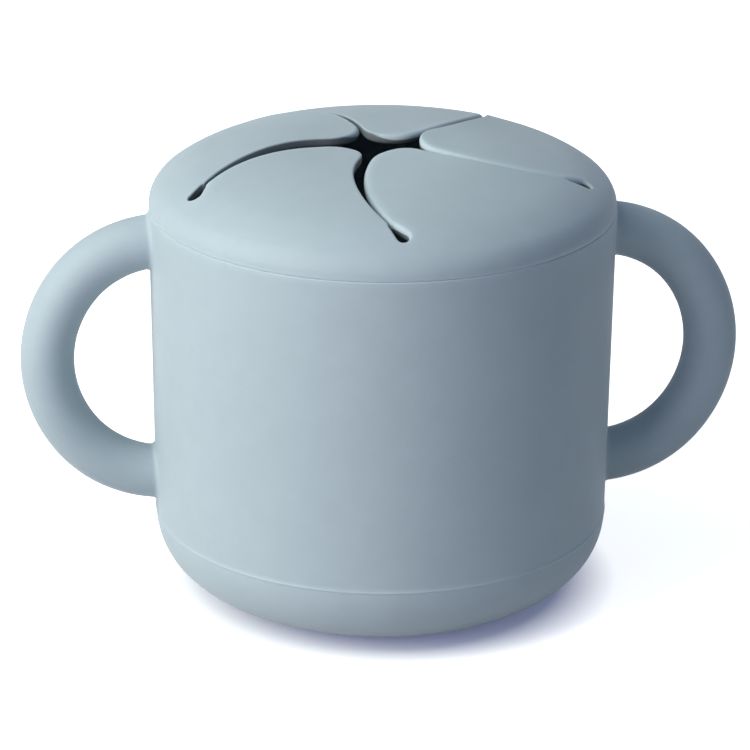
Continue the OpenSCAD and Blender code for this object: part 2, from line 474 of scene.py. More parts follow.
def grown(name, mesh, tree, values):
    """Runs a tree on a mesh and returns the result as a plain mesh."""
    source = bpy.data.objects.new(name + "_source", mesh)
    bpy.context.scene.collection.objects.link(source)
    modifier = source.modifiers.new("tree", "NODES")
    modifier.node_group = tree
    sockets = {item.name: item.identifier for item in tree.interface.items_tree if item.in_out == "INPUT"}
    for label, value in values.items():
        modifier[sockets[label]] = value
    ready = source.evaluated_get(bpy.context.evaluated_depsgraph_get())
    result = bpy.data.meshes.new_from_object(ready)
    bpy.data.objects.remove(source)
    result.name = name
    return finished(result)


def revolve(shell, profile):
    """Turns the cup's section of (radius, height) about the upright axis."""
    turns = np.radians(np.arange(AROUND) * 360 / AROUND)
    rows = []
    for r, z in profile:
        if r == 0:
            rows.append(shell.add([(0, 0, z)]))
        else:
            row = np.column_stack([r * np.cos(turns), r * np.sin(turns), np.full(AROUND, z)])
            rows.append(shell.add(row, cup_wear_highlight(r, z)))
    for a, b in zip(rows, rows[1:]):
        if len(a) == 1:
            shell.fan(b, a[0])
        elif len(b) == 1:
            shell.fan(a, b[0])
        else:
            shell.strip(a, b, closed=True)


# -------- cup
HEEL_Z = HEEL_R + (BELLY_R - HEEL_R) * (1 - STEEP[1])
HEEL_AT = np.array([HEEL_SIDE_R - HEEL_R, HEEL_Z])
BELLY_AT = HEEL_AT + (BELLY_R - HEEL_R) * np.array([-STEEP[0], STEEP[1]])
STEEP_TURN = math.degrees(math.atan2(STEEP[1], STEEP[0]))
MOULD_LINE_Z = HEEL_Z + MOULD_LINE_UP


def cup_outer_r(z):
    """Radius of the cup's outside at a height above the heel."""
    return HEEL_SIDE_R + (RIM_R - HEEL_SIDE_R) * np.clip((z - HEEL_Z) / (RIM_Z - HEEL_Z), 0, 1)


def cup_profile():
    """Half section of the cup: under the base, up the outside, over the rim and down the inside."""
    inside = RIM_R - WALL
    ridge = [(HEEL_SIDE_R + MOULD_LINE_OUT * (1 - x * x), MOULD_LINE_Z + MOULD_LINE_HALF * x)
             for x in np.linspace(-1, 1, 9)]
    outer_heights = np.linspace(HEEL_Z + SIDE_CLEAR, RIM_Z - SIDE_CLEAR, 24)
    inner_heights = np.linspace(RIM_Z - INNER_SIDE_TOP, HEEL_Z + INNER_SIDE_LOW, 16)
    inner_belly = arc(BELLY_AT, BELLY_R - WALL, 360 - STEEP_TURN, 270 + INNER_BELLY_STOP, steps=10)
    return [
        (0, HOLLOW_DEPTH),
        (HOLLOW_R - 4 * FOOT_ROUND, HOLLOW_DEPTH),
        *arc((HOLLOW_R - 3 * FOOT_ROUND, HOLLOW_DEPTH - FOOT_ROUND), FOOT_ROUND, 90, 0, steps=3),
        *arc((HOLLOW_R - FOOT_ROUND, FOOT_ROUND), FOOT_ROUND, 180, 270, steps=3),
        *arc(BELLY_AT, BELLY_R, 270, 360 - STEEP_TURN, steps=16),
        *arc(HEEL_AT, HEEL_R, 360 - STEEP_TURN, 360, steps=22)[1:],
        *ridge,
        *((cup_outer_r(z), z) for z in outer_heights),
        *arc((RIM_R - RIM_ROUND, RIM_Z - RIM_ROUND), RIM_ROUND, 0, 90, steps=5),
        (inside + LEAD_IN + LEAD_EASE_TOP, RIM_Z),
        (inside + LEAD_IN, RIM_Z - LEAD_EASE),
        (inside + LEAD_EASE, RIM_Z - LEAD_IN),
        *((cup_outer_r(z) - WALL, z) for z in inner_heights),
        *arc(HEEL_AT, HEEL_R - WALL, 360, 360 - STEEP_TURN, steps=14),
        *((r, z) for r, z in inner_belly if z > FLOOR_T + FLOOR_CLEAR),
        *((BELLY_AT[0] - inwards, FLOOR_T) for inwards in FLOOR_POINTS_IN),
        (0, FLOOR_T),
    ]


def cup_wear_highlight(r, z):
    """How pale the cup is made at a point of its section, along the rim and on the mould line: partly wear,
    partly painted highlight.
    """
    rim = 1 - abs(z - RIM_Z) / RIM_WEAR_HIGHLIGHT if r > RIM_R - RIM_WEAR_HIGHLIGHT_IN else 0
    line = 1 - abs(z - MOULD_LINE_Z) / MOULD_LINE_WEAR_HIGHLIGHT if r > HEEL_SIDE_R else 0
    return max(rim, line, 0.0)


def cup_shell(material):
    """The cup without its handles, as one closed skin."""
    shell = Shell()
    revolve(shell, cup_profile())
    return placed("cup_shell", shell.mesh("cup_shell"), material)


# -------- handles
HALF_W = SIDE_ARC - (SIDE_ARC - END_ARC) * JOIN[0]
HALF_H = END_ARC + (SIDE_ARC - END_ARC) * JOIN[1]
GRIP_X = SPAN_R - (grip_high.y - grip_low.y) / 2 - HALF_W
JOIN_TURN = math.degrees(math.atan2(JOIN[1], JOIN[0]))


def grip_line(share):
    """Centre line of the right handle in (x, z), from its upper end (0) to its lower end (1), and the way
    outwards from the middle of the loop. It carries on straight into the wall beyond both ends."""
    end_length = math.radians(90 - JOIN_TURN) * END_ARC
    side_length = math.radians(2 * JOIN_TURN) * SIDE_ARC
    run = share * (2 * end_length + side_length)
    if run < 0:
        return np.array([GRIP_X + run, GRIP_Z + HALF_H]), np.array([0.0, 1.0])
    if run < end_length:
        turn = 90 - math.degrees(run / END_ARC)
        out = polar(1, turn)
        return np.array([GRIP_X, GRIP_Z + HALF_H - END_ARC]) + END_ARC * out, out
    if run < end_length + side_length:
        turn = JOIN_TURN - math.degrees((run - end_length) / SIDE_ARC)
        out = polar(1, turn)
        return np.array([GRIP_X + HALF_W - SIDE_ARC, GRIP_Z]) + SIDE_ARC * out, out
    point, out = grip_line(1 - share)
    return np.array([point[0], 2 * GRIP_Z - point[1]]), np.array([out[0], -out[1]])


def grip_point(share, side, spread=0.0):
    """Point on the right handle's skin. Side is the direction round the section, 0 outwards."""
    middle, out = grip_line(share)
    lift = (GRIP_IN_PLANE + spread) * math.cos(side)
    return np.array([middle[0] + lift * out[0], (GRIP_ACROSS + spread) * math.sin(side),
                     middle[1] + lift * out[1]])


def off_wall(point):
    """Distance of a point outwards from the cup's side."""
    return math.hypot(point[0], point[1]) - float(cup_outer_r(point[2]))


def share_off_wall(side, spread, gap, low, high):
    """Share of the way along the handle where its skin, spread outwards, is that far off the wall."""
    for _ in range(HALVINGS):
        middle = (low + high) / 2
        if off_wall(grip_point(middle, side, spread)) < gap:
            low = middle
        else:
            high = middle
    return (low + high) / 2


def grip_rows(sides, junction):
    """Rows of the rounded junction at one end of the handle, from inside the wall outwards. Each row gives
    its share along the handle and its spread, for every side."""
    rows = [[(share_off_wall(s, SUNK_SPREAD, -GRIP_SUNK, *junction), SUNK_SPREAD) for s in sides]]
    for turn in np.radians(np.linspace(90, 0, FILLET_STEPS + 1)):
        spread = FILLET_R * (1 - math.cos(turn))
        gap = FILLET_R * (1 - math.sin(turn))
        rows.append([(share_off_wall(s, spread, gap, *junction), spread) for s in sides])
    return rows


def handle_mesh(name, turn):
    """A handle with its rounded junctions, turned from the right to its own side of the cup."""
    shell = Shell()
    sides = np.arange(GRIP_SIDES) * 2 * math.pi / GRIP_SIDES
    upper, lower = (grip_rows(sides, junction) for junction in JUNCTIONS)
    rows = list(upper)
    for step in range(1, GRIP_STEPS):
        part = step / GRIP_STEPS
        rows.append([(a + (b - a) * part, 0.0) for (a, _), (b, _) in zip(upper[-1], lower[-1])])
    rows += lower[::-1]
    numbers = [shell.add([grip_point(share, s, spread) for (share, spread), s in zip(row, sides)])
               for row in rows]
    shell.strips(numbers, closed=True)
    for row in (numbers[0], numbers[-1]):
        middle = np.mean([shell.points[i] for i in row], axis=0)
        shell.fan(row, shell.add([middle])[0])
    mesh = shell.mesh(name)
    mesh.transform(Matrix.Rotation(math.radians(turn), 4, "Z"))
    return mesh


# -------- lid: section of the dome
LIP_AT = np.array([RIM_R - LIP_R, 0.0])
SHOULDER_AT = LIP_AT - (SHOULDER_R - LIP_R) * np.array(STEEP)
CROWN_AT = SHOULDER_AT - (CROWN_R - SHOULDER_R) * np.array(SHALLOW)
# The lip's arc begins at this distance from the middle.
LIP_TOP_R = LIP_AT[0] + LIP_R * STEEP[0]


def dome_z(r, inset=0.0):
    """Height of the dome above the seam at a distance from its middle, moved inwards by inset."""
    r = np.asarray(r, float)
    lip, shoulder, crown = (
        centre[1] + np.sqrt(np.maximum((radius - inset) ** 2 - np.square(np.maximum(r - centre[0], 0)), 0))
        for centre, radius in ((LIP_AT, LIP_R), (SHOULDER_AT, SHOULDER_R), (CROWN_AT, CROWN_R)))
    z = np.where(r > SHOULDER_AT[0] + (SHOULDER_R - inset) * SHALLOW[0], shoulder, crown)
    return np.where(r > LIP_AT[0] + (LIP_R - inset) * STEEP[0], lip, z)


# -------- lid: one petal's edge, seen from above
SLIT_BOW = math.degrees(math.asin(SLIT_REACH / 2 / SLIT_R))
SLIT_AT = polar(SLIT_R, FIRST_SLIT + 90 - SLIT_BOW)
HOLE_AT = polar(SLIT_REACH, FIRST_SLIT)
OWN_AT = HOLE_AT + turned(SLIT_AT - HOLE_AT, -SLIT_OPEN)
NEXT_AT = turned(HOLE_AT + turned(SLIT_AT - HOLE_AT, SLIT_OPEN), STEP)
OWN_R = SLIT_R - SLIT_W / 2
NEXT_R = SLIT_R + SLIT_W / 2
PETAL_MID = FIRST_SLIT + STEP / 2


def tip_middle():
    """Middle of the round tip, tangent to both sides of the petal."""
    apart = np.linalg.norm(NEXT_AT - OWN_AT)
    along = (NEXT_AT - OWN_AT) / apart
    reach = ((OWN_R - TIP_R) ** 2 - (NEXT_R + TIP_R) ** 2 + apart * apart) / (2 * apart)
    sideways = math.sqrt((OWN_R - TIP_R) ** 2 - reach * reach)
    return OWN_AT + reach * along + sideways * np.array([-along[1], along[0]])


TIP_AT = tip_middle()


def short_way(start, end):
    """The direction equal to end that is less than half a turn from start."""
    return start + (end - start + 180) % 360 - 180


def slit_point(run):
    """Point on the first slit's middle line, that far inwards from its hinge end."""
    return SLIT_AT + polar(SLIT_R, direction(SLIT_AT, HOLE_AT) - math.degrees(run / SLIT_R))


def resampled(points, steps):
    """Points at even distances along a path, both ends included."""
    run = np.concatenate([[0], np.cumsum(np.hypot(*np.diff(points, axis=0).T))])
    at = np.linspace(0, run[-1], steps + 1)
    return np.column_stack([np.interp(at, run, points[:, 0]), np.interp(at, run, points[:, 1])])


def hole_paths(turn, own, side_at, side_r, inset):
    """Edge of a drop-shaped hole from its far end to where the slit's side begins, as two rows that meet on
    the root line. Own says whether the petal lies on the inner side of the slit's curve."""
    far, near = turned(slit_point(-HOLE_OUT), turn), turned(slit_point(HOLE_LONG), turn)
    axis = direction(far, near)
    spread = math.degrees(math.acos((HOLE_R - HOLE_END_R) / np.linalg.norm(near - far)))
    flank = axis - spread if own else axis + spread
    away = direction((0, 0), far)
    outer = arc(far, HOLE_R + inset, away, short_way(away, flank), steps=60)
    side_start = meet(near, HOLE_END_R + inset, side_at, side_r, np.zeros(2))
    inner = arc(near, HOLE_END_R + inset, flank, short_way(flank, direction(near, side_start)), steps=40)
    path = np.vstack([outer, resampled(np.array([outer[-1], inner[0]]), steps=30)[1:-1], inner])
    past = int(np.argmax(np.hypot(*path.T) < SLIT_REACH))
    before, after = path[past - 1], path[past]
    rest = (np.hypot(*before) - SLIT_REACH) / (np.hypot(*before) - np.hypot(*after))
    crossing = before + (after - before) * rest
    return (resampled(np.vstack([path[:past], crossing]), OUTER_STEPS),
            resampled(np.vstack([crossing, path[past:]]), INNER_STEPS))


def petal_edge(inset):
    """The petal's edge moved inwards, as rows of points: the outer part of its own slit's hole, the inner
    part, its own side, the tip, the next side, and the same parts of the next slit's hole."""
    own_out, own_in = hole_paths(0, True, OWN_AT, OWN_R - inset, inset)
    next_out, next_in = hole_paths(STEP, False, NEXT_AT, NEXT_R + inset, inset)
    own_start = direction(OWN_AT, own_in[-1])
    next_start = direction(NEXT_AT, next_in[-1])
    own_tip = direction(OWN_AT, TIP_AT)
    next_tip = direction(NEXT_AT, TIP_AT)
    return [
        own_out,
        own_in,
        arc(OWN_AT, OWN_R - inset, own_start, short_way(own_start, own_tip), SIDE_STEPS),
        arc(TIP_AT, TIP_R - inset, own_tip, short_way(own_tip, next_tip + 180), TIP_STEPS),
        arc(NEXT_AT, NEXT_R + inset, short_way(next_start, next_tip), next_start, SIDE_STEPS),
        next_in[::-1],
        next_out[::-1],
    ]


def inside(points, loop):
    """Which points lie inside a closed loop."""
    x, y = points[:, 0], points[:, 1]
    found = np.zeros(len(points), bool)
    for (ax, ay), (bx, by) in zip(loop, np.roll(loop, -1, axis=0)):
        crosses = (ay > y) != (by > y)
        if ay != by:
            found ^= crosses & (x < (bx - ax) * (y - ay) / (by - ay) + ax)
    return found


def filled(loop, gap=POINT_GAP):
    """Fills a closed loop with a web of points. Returns all points, the loop's own first, and triangles."""
    low, high = loop.min(0) - gap, loop.max(0) + gap
    rows = np.arange(low[1], high[1], gap * math.sqrt(3) / 2)
    web = [(x + gap / 2 * (i % 2), y) for i, y in enumerate(rows) for x in np.arange(low[0], high[0], gap)]
    web = np.array(web)
    web = web[inside(web, loop)]
    web = web[gap_to(web, loop) > gap * POINT_CLEAR]
    every = np.vstack([loop, web])
    ring = list(range(len(loop)))
    found = delaunay_2d_cdt([Vector(p) for p in every], [], [ring], 1, 1e-7)
    points = np.array([tuple(p) for p in found[0]])
    numbers = {origin: i for i, origins in enumerate(found[3]) for origin in origins}
    order = np.array([numbers[i] for i in range(len(every))])
    back = np.empty(len(points), int)
    back[order] = np.arange(len(every))
    return every, [tuple(back[i] for i in face) for face in found[2]]


def rounding(inset, radius):
    """How far a rounded edge falls away at a distance inside it."""
    part = np.clip(1 - np.asarray(inset, float) / radius, 0, 1)
    return radius * (1 - np.sqrt(1 - part * part))


INSETS = EDGE_ROUND * (1 - np.cos(np.radians(np.linspace(0, 90, ROUND_STEPS + 1))))


def gap_to(points, line):
    """Distance of each point from the nearest point of a line."""
    return np.array([np.min(np.hypot(*(line - p).T)) for p in points])


def wear_and_painted_light_share(inset, radius):
    """Tone mark at a distance inside a cut edge: paler on a well rounded edge, partly as wear and partly as
    painted highlight, and on a tight one painted shade on its wall instead."""
    inset = np.asarray(inset, float)
    full = (radius - NEXT_ROUND) / (OWN_ROUND - NEXT_ROUND)
    painted_shade = np.clip(1 - inset / PAINTED_SHADE_REACH, 0, 1) * (full - 1)
    return np.clip(1 - inset / WEAR_HIGHLIGHT_REACH, 0, 1) * full + painted_shade


def edge_rounds():
    """Radius of the upper edge along each row of petal_edge: full on the petal's own side, tight on the
    next."""
    half = OUTER_STEPS + INNER_STEPS + 1
    own, after = (np.linspace(HOLE_ROUND, radius, half) for radius in (OWN_ROUND, NEXT_ROUND))
    tip = np.linspace(0, 1, TIP_STEPS + 1)
    return [
        own[:OUTER_STEPS + 1],
        own[OUTER_STEPS:],
        np.full(SIDE_STEPS + 1, OWN_ROUND),
        np.interp(tip, TIP_SHARES, (OWN_ROUND, NEXT_ROUND)),
        np.full(SIDE_STEPS + 1, NEXT_ROUND),
        after[OUTER_STEPS:][::-1],
        after[:OUTER_STEPS + 1][::-1],
    ]


def wear_and_painted_light_web(points, line, rounds):
    """Tone mark of points inside the last ring, as wear and painted highlight, by the nearest point of that
    ring and its edge's radius.
    """
    apart = np.hypot(points[:, None, 0] - line[None, :, 0], points[:, None, 1] - line[None, :, 1])
    return wear_and_painted_light_share(EDGE_ROUND + apart.min(1), rounds[apart.argmin(1)])


def lift_up(points, inset, under=False, radius=EDGE_ROUND):
    """Puts plan points on the dome's outside, or on its underside, with the edge's rounding."""
    r = np.hypot(points[:, 0], points[:, 1])
    if under:
        z = dome_z(r, SKIN_T) + rounding(inset, UNDER_ROUND)
    else:
        z = dome_z(r) - rounding(inset, radius)
    return np.column_stack([points, RIM_Z + z])


def joined(rows):
    """Rows laid end to end, without the doubled ends."""
    return np.concatenate([rows[0]] + [row[1:] for row in rows[1:]])


def petal_mesh():
    """The petal between the first two slits: dome skin with rounded edges, from its root line to its tip."""
    shell = Shell()
    plans = [joined(petal_edge(inset)[1:6]) for inset in INSETS]
    rounds = joined(edge_rounds()[1:6])
    inner = plans[-1]
    start, finish = direction((0, 0), inner[-1]), direction((0, 0), inner[0])
    root = arc((0, 0), SLIT_REACH, start, finish, ROOT_STEPS)
    points, triangles = filled(np.vstack([inner, root[1:-1]]))
    edges = []
    for under in (False, True):
        # Underside edge rows get painted shade; top rows get wear and painted highlight on round edges and
        # painted shade right at tight ones.
        rings = [shell.add(lift_up(plan, inset, under, rounds), -1.0 if under else wear_and_painted_light_share(inset, rounds))
                 for plan, inset in zip(plans[:-1], INSETS)]
        web_wear_and_painted_light = 0.0 if under else wear_and_painted_light_web(points, inner, rounds)
        web = shell.add(lift_up(points, EDGE_ROUND, under), web_wear_and_painted_light)
        rings.append(web[:len(inner)])
        shell.strips(rings)
        shell.faces += [tuple(web[i] for i in face) for face in triangles]
        root_row = [web[len(inner) - 1]] + web[len(inner):len(inner) + len(root) - 2] + [web[0]]
        starts, ends = ([ring[i] for ring in rings[:-1]] for i in (0, -1))
        edges.append((rings[0], ends + root_row + starts[::-1]))
    for top, bottom in zip(*edges):
        shell.wall(top, bottom)
    return shell.mesh("petal")


# -------- lid: the rim with its plug ring
def rim_section():
    """Section of the rim from the dome's shoulder over the lip, under the seat, round the plug ring and up
    to the dome's underside, with how pale each point is made at the seam, partly wear and partly painted
    highlight."""
    lip = arc(LIP_AT, LIP_R, STEEP_TURN, LIP_END, steps=18)[1:]
    lip[:, 0] -= SEAM_STEP * np.square(np.clip(1 - lip[:, 1] / SEAM_STEP_HIGH, 0, 1))
    edge = arc((RIM_R - SEAM_STEP - SEAM_ROUND, SEAM_GAP + SEAM_ROUND), SEAM_ROUND, 0, -90, steps=3)
    points = [*lip, *edge, (PLUG_R + PLUG_EASE, SEAM_GAP), (PLUG_R, SEAM_GAP - PLUG_EASE)]
    for share in BEAD_SHARES:
        bead_at = (PLUG_R + BEAD_OUT - BEAD_R, -share * PLUG_DEPTH)
        reach = math.degrees(math.acos((BEAD_R - BEAD_OUT) / BEAD_R))
        points += [*arc(bead_at, BEAD_R, reach, -reach, steps=8)]
    points += [*arc((PLUG_R - PLUG_ROUND, PLUG_ROUND - PLUG_DEPTH), PLUG_ROUND, 0, -90, steps=5)]
    points += [*arc((PLUG_INNER_R + PLUG_ROUND, PLUG_ROUND - PLUG_DEPTH), PLUG_ROUND, -90, -180, steps=5)]
    points += [(PLUG_INNER_R, z) for z in PLUG_INNER_HEIGHTS]
    return [(r, z, max(1 - abs(z) / LIP_WEAR_HIGHLIGHT, 0.0) if r > RIM_R - LIP_WEAR_HIGHLIGHT_IN else 0.0) for r, z in points]


def rim_sector():
    """A fifth of the lid's rim: half the dome round one slit's end and half round the next, the root line
    between them, the lip and the plug ring."""
    shell = Shell()
    rows = [petal_edge(inset) for inset in INSETS]
    own_side = [row[0][::-1] for row in rows]
    next_side = [row[6][::-1] for row in rows]
    own_round, next_round = edge_rounds()[0][::-1], edge_rounds()[6][::-1]
    own_ring, next_ring = own_side[-1], next_side[-1]
    top_arc, under_arc = (arc((0, 0), r, FIRST_SLIT, FIRST_SLIT + STEP, RIM_STEPS)
                          for r in (LIP_TOP_R, PLUG_INNER_R))
    root_start, root_end = direction((0, 0), next_ring[-1]), direction((0, 0), own_ring[0])
    root = arc((0, 0), SLIT_REACH, root_start, root_end, ROOT_STEPS)[1:-1]
    # Outside: rings round both holes, then one web between them, the root line and the lip.
    own_line = np.linspace(own_ring[-1], top_arc[0], 3)[1:-1]
    next_line = np.linspace(top_arc[-1], next_ring[0], 3)[1:-1]
    loop = np.vstack([own_ring, own_line, top_arc, next_line, next_ring, root])
    points, triangles = filled(loop)
    wear_and_painted_light = wear_and_painted_light_web(points, np.vstack([own_ring, next_ring]), np.concatenate([own_round, next_round]))
    web = shell.add(lift_up(points, EDGE_ROUND), wear_and_painted_light)
    shell.faces += [tuple(web[i] for i in face) for face in triangles]
    lip_from = len(own_ring) + len(own_line)
    next_from = lip_from + len(top_arc) + len(next_line)
    web_rings = web[:len(own_ring)], web[next_from:next_from + len(next_ring)]
    rings = []
    for side, rounds, last in zip((own_side, next_side), (own_round, next_round), web_rings):
        made = [shell.add(lift_up(plan, inset, radius=rounds), wear_and_painted_light_share(inset, rounds))
                for plan, inset in zip(side[:-1], INSETS)]
        made.append(last)
        shell.strips(made)
        rings.append(made)
    # Underside: a narrow web from the root line to the plug ring.
    own_hole, next_hole = own_side[0], next_side[0]
    own_roots = np.array([side[0] for side in own_side[1:]])
    next_roots = np.array([side[-1] for side in next_side[1:]])
    under_loop = np.vstack([own_hole, under_arc, next_hole, next_roots, root, own_roots[::-1]])
    under_points, under_triangles = filled(under_loop, UNDER_POINT_GAP)
    insets = np.full(len(under_points), EDGE_ROUND)
    hole_from = len(own_hole) + len(under_arc)
    root_from = hole_from + len(next_hole)
    insets[:len(own_hole)] = 0
    insets[hole_from:root_from] = 0
    insets[root_from:root_from + len(next_roots)] = INSETS[1:]
    insets[len(under_loop) - len(own_roots):len(under_loop)] = INSETS[1:][::-1]
    # Underside points along the cut edges get painted shade.
    low = shell.add(lift_up(under_points, insets, True), np.where(insets < EDGE_ROUND, -1.0, 0.0))
    shell.faces += [tuple(low[i] for i in face) for face in under_triangles]
    shell.wall(rings[0][0], low[:len(own_hole)])
    shell.wall(rings[1][0], low[hole_from:root_from])
    top_root = [ring[-1] for ring in rings[1]] + web[len(loop) - len(root):len(loop)]
    top_root += [ring[0] for ring in rings[0]][::-1]
    shell.wall(top_root, [low[root_from - 1]] + low[root_from:len(under_loop)] + [low[0]])
    # Lip, seat and plug ring, turned about the upright axis.
    turns = [web[lip_from:lip_from + len(top_arc)]]
    for r, z, share in rim_section():
        row = arc((0, 0), r, FIRST_SLIT, FIRST_SLIT + STEP, RIM_STEPS)
        turns.append(shell.add(np.column_stack([row, np.full(len(row), RIM_Z + z)]), share))
    turns.append(low[len(own_hole):hole_from])
    shell.strips(turns)
    return shell.mesh("rim_sector")


# -------- silicone
def shader_noise(tree, place, scale, detail, roughness=0.5):
    """Noise of about -1 to 1."""
    found = node(tree, "ShaderNodeTexNoise", {
        "Vector": place, "Scale": scale, "Detail": detail, "Roughness": roughness}).outputs[0]
    return node(tree, "ShaderNodeMapRange", {
        "Value": found, "From Min": 0.3, "From Max": 0.7, "To Min": -1.0, "To Max": 1.0}).outputs[0]


def silicone_tone_group():
    """Colour of moulded silicone: slow mottling, paler on marked edges as wear and painted highlight, darker
    where painted shade is marked, and a few specks of lint."""
    tree, given, out = group_tree("silicone_tone", "ShaderNodeTree", [
        ("Place", "Vector"), ("Colour", "Color"), *floats("Cloud Scale", "Cloud", "Mottle Scale", "Mottle"),
        *floats("Painted Light And Wear", "Painted Light And Wear Lift", "Painted Shade Fall", "Lint Scale", "Lint Size", "Lint Share"),
        ("Lint Colour", "Color")], [("Colour", "Color")])
    cloud_noise = shader_noise(tree, given["Place"], given["Cloud Scale"], detail=1.0)
    mottle_noise = shader_noise(tree, given["Place"], given["Mottle Scale"], detail=4.0, roughness=0.6)
    cloud = calc(tree, "MULTIPLY", cloud_noise, given["Cloud"])
    mottle = calc(tree, "MULTIPLY", mottle_noise, given["Mottle"])
    level = calc(tree, "ADD", calc(tree, "ADD", cloud, mottle), 1.0)
    # The positive mark makes the colour paler as wear and painted highlight; the negative mark darkens it as
    # painted shade.
    painted_light_and_wear = calc(tree, "MULTIPLY", calc(tree, "MAXIMUM", given["Painted Light And Wear"], 0.0), given["Painted Light And Wear Lift"])
    painted_shade = calc(tree, "MULTIPLY", calc(tree, "MINIMUM", given["Painted Light And Wear"], 0.0), given["Painted Shade Fall"])
    level = calc(tree, "ADD", calc(tree, "ADD", level, painted_light_and_wear), painted_shade)
    toned = vector_calc(tree, "SCALE", given["Colour"], level)
    specks = node(tree, "ShaderNodeTexVoronoi", {
        "Vector": given["Place"], "Scale": given["Lint Scale"]}).outputs
    chance = node(tree, "ShaderNodeSeparateColor", {0: specks["Color"]}).outputs[0]
    close = calc(tree, "LESS_THAN", specks["Distance"], given["Lint Size"])
    chosen = calc(tree, "LESS_THAN", chance, given["Lint Share"])
    lint = node(tree, "ShaderNodeMix", {
        "Factor": calc(tree, "MULTIPLY", close, chosen), "A": toned, "B": given["Lint Colour"]},
        data_type="RGBA")
    tree.links.new(lint.outputs["Result"], out["Colour"])
    return tree


def mould_grain_group():
    """Relief and gloss of the mould's fine blasted grain over its slow waviness."""
    tree, given, out = group_tree("mould_grain", "ShaderNodeTree", [
        ("Place", "Vector"), *floats("Grain Scale", "Wave Scale", "Wave", "Roughness", "Roughness Change"),
        *floats("Painted Light And Wear")], floats("Height", "Roughness"))
    grain = shader_noise(tree, given["Place"], given["Grain Scale"], detail=2.0)
    wave = shader_noise(tree, given["Place"], given["Wave Scale"], detail=1.0)
    height = calc(tree, "ADD", calc(tree, "MULTIPLY", wave, given["Wave"]), grain)
    tree.links.new(height, out["Height"])
    patchy = shader_noise(tree, given["Place"], calc(tree, "MULTIPLY", given["Wave Scale"], 0.3), detail=3.0)
    uneven = calc(tree, "SUBTRACT", patchy, given["Painted Light And Wear"])
    rough = calc(tree, "ADD", calc(tree, "MULTIPLY", uneven, given["Roughness Change"]), given["Roughness"])
    tree.links.new(rough, out["Roughness"])
    return tree


SILICONE_TONE = silicone_tone_group()
MOULD_GRAIN = mould_grain_group()


def silicone(name, painted_light_and_wear_lift):
    """Matte coloured silicone straight from a blasted mould."""
    material = bpy.data.materials.new(name)
    material.use_nodes = True
    tree = material.node_tree
    shader = tree.nodes["Principled BSDF"]
    place = node(tree, "ShaderNodeTexCoord").outputs["Object"]
    # Each point's mark of wear and painted highlight, or of painted shade.
    painted_light_and_wear = node(tree, "ShaderNodeAttribute", attribute_name="wear_and_painted_light").outputs["Fac"]
    tone = node(tree, "ShaderNodeGroup", {
        "Place": place, "Painted Light And Wear": painted_light_and_wear, "Colour": (*SILICONE_COLOUR, 1), "Cloud Scale": CLOUD_SCALE,
        "Cloud": CLOUD, "Mottle Scale": MOTTLE_SCALE, "Mottle": MOTTLE, "Painted Light And Wear Lift": painted_light_and_wear_lift,
        "Painted Shade Fall": PAINTED_SHADE_FALL, "Lint Scale": LINT_SCALE, "Lint Size": LINT_SIZE,
        "Lint Share": LINT_SHARE, "Lint Colour": (*LINT_COLOUR, 1)}, node_tree=SILICONE_TONE)
    grain = node(tree, "ShaderNodeGroup", {
        "Place": place, "Painted Light And Wear": painted_light_and_wear, "Grain Scale": GRAIN_SCALE, "Wave Scale": WAVE_SCALE,
        "Wave": WAVE, "Roughness": ROUGHNESS, "Roughness Change": ROUGHNESS_CHANGE}, node_tree=MOULD_GRAIN)
    relief = node(tree, "ShaderNodeBump", {
        "Height": grain.outputs["Height"], "Strength": 1.0, "Distance": GRAIN_DEEP * MM})
    tree.links.new(tone.outputs["Colour"], shader.inputs["Base Color"])
    tree.links.new(grain.outputs["Roughness"], shader.inputs["Roughness"])
    tree.links.new(relief.outputs["Normal"], shader.inputs["Normal"])
    shader.inputs["Specular IOR Level"].default_value = SPECULAR
    shader.inputs["Sheen Weight"].default_value = SHEEN
    shader.inputs["Sheen Roughness"].default_value = SHEEN_ROUGHNESS
    return material


# -------- the pieces
cup_silicone = silicone("cup_silicone", CUP_WEAR_HIGHLIGHT)
lid_silicone = silicone("lid_silicone", LID_WEAR_HIGHLIGHT)

cup = cup_shell(cup_silicone)
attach(cup, "cup")
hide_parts("cup")

for name, node_name, turn in (("right_grip", "right_handle", 0), ("left_grip", "left_handle", 180)):
    grip = placed(name, handle_mesh(name, turn), cup_silicone)
    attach(grip, "cup")
    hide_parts(node_name)

drift = drift_group()
shared_values = {"Drift": math.radians(DRIFT), "Drift At": math.radians(DRIFT_AT),
                 "Drift Reach": math.radians(DRIFT_REACH), "Material": lid_silicone}
rim_mesh = grown("lid_rim", rim_sector(), ring_tree(drift), {
    "Copies": PETALS, "Weld": SECTOR_WELD * MM, **shared_values})
rim = placed("lid_rim", rim_mesh, lid_silicone)
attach(rim, "lid")
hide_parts("lid")

first_petal = petal_mesh()
resting = petal_tree(drift)
mid_way, across_way = polar(1, PETAL_MID), polar(1, PETAL_MID + 90)
for number, (slide_out, slide_across, lift, lean) in REST.items():
    turn = (number - 1) * STEP
    mesh = grown(f"petal_skin_{number}", first_petal, resting, {
        "Turn": math.radians(turn), "Mid Way": (*mid_way, 0.0), "Across Way": (*across_way, 0.0),
        "Bend Start": BEND_START * MM, "Bend End": BEND_END * MM, "Slide Out": slide_out * MM,
        "Slide Across": slide_across * MM, "Lift": lift * MM, "Lean": lean, **shared_values})
    petal = placed(mesh.name, mesh, lid_silicone)
    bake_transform(petal)
    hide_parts(f"petal_{number}")

